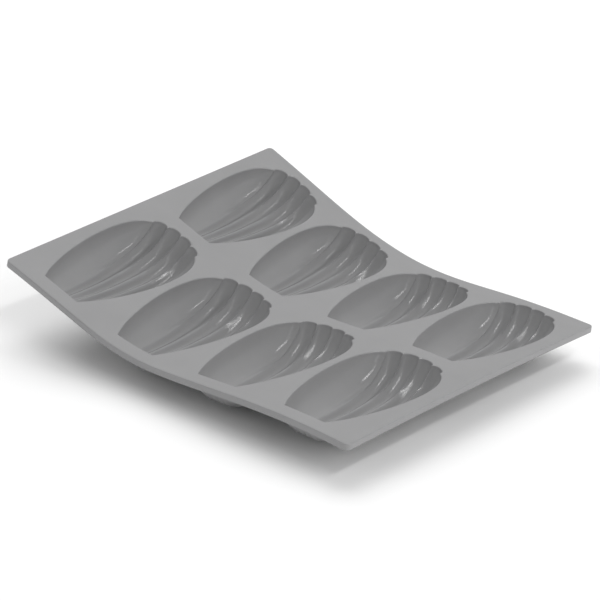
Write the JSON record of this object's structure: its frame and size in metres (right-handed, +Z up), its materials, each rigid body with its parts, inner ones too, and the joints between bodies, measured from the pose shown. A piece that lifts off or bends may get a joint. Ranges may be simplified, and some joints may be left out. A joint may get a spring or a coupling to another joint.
{
  "type": "madeleine pan",
  "caption": "Flexible silicone baking mould with shell-shaped madeleine cups sunk in a thin flat sheet, its rows joined by bending strips and one end curled up.",
  "frame": {"origin": "centre of the bounding box at table height, under the middle of the sheet", "axes": "+X along the sheet from its lifted end to its low end, +Y across it from the cups' narrow ends to their scalloped ends, +Z up"},
  "size_m": [0.2078, 0.176, 0.0538],
  "materials": {
    "silicone": "matte"
  },
  "bodies": {
    "row_1": {"deck_row_1": "silicone", "cup_1_near": "silicone", "cup_1_far": "silicone"},
    "row_2": {"deck_row_2": "silicone", "cup_2_near": "silicone", "cup_2_far": "silicone", "flex_web_1": "silicone"},
    "row_3": {"deck_row_3": "silicone", "cup_3_near": "silicone", "cup_3_far": "silicone", "flex_web_2": "silicone", "flex_web_3": "silicone"},
    "row_4": {"deck_row_4": "silicone", "cup_4_near": "silicone", "cup_4_far": "silicone"}
  },
  "joints": [
    {"name": "flex_2_3", "type": "hinge", "parent": "row_3", "child": "row_2", "pos_m": [-0.00106, 0, 0.01635], "axis": [-0.0017, 0.9997, 0.0234], "range_deg": [-3, 40], "stiffness_Nm_per_rad": 2, "deforming": ["flex_web_2"]},
    {"name": "flex_1_2", "type": "hinge", "parent": "row_2", "child": "row_1", "pos_m": [-0.05013, 0, 0.02612], "axis": [0.0072, 0.9978, 0.0661], "range_deg": [-20, 40], "stiffness_Nm_per_rad": 2, "deforming": ["flex_web_1"]},
    {"name": "flex_3_4", "type": "hinge", "parent": "row_3", "child": "row_4", "pos_m": [0.04901, 0, 0.01717], "axis": [0.0002, -1, -0.0002], "range_deg": [-2, 40], "stiffness_Nm_per_rad": 2, "deforming": ["flex_web_3"]}
  ]
}
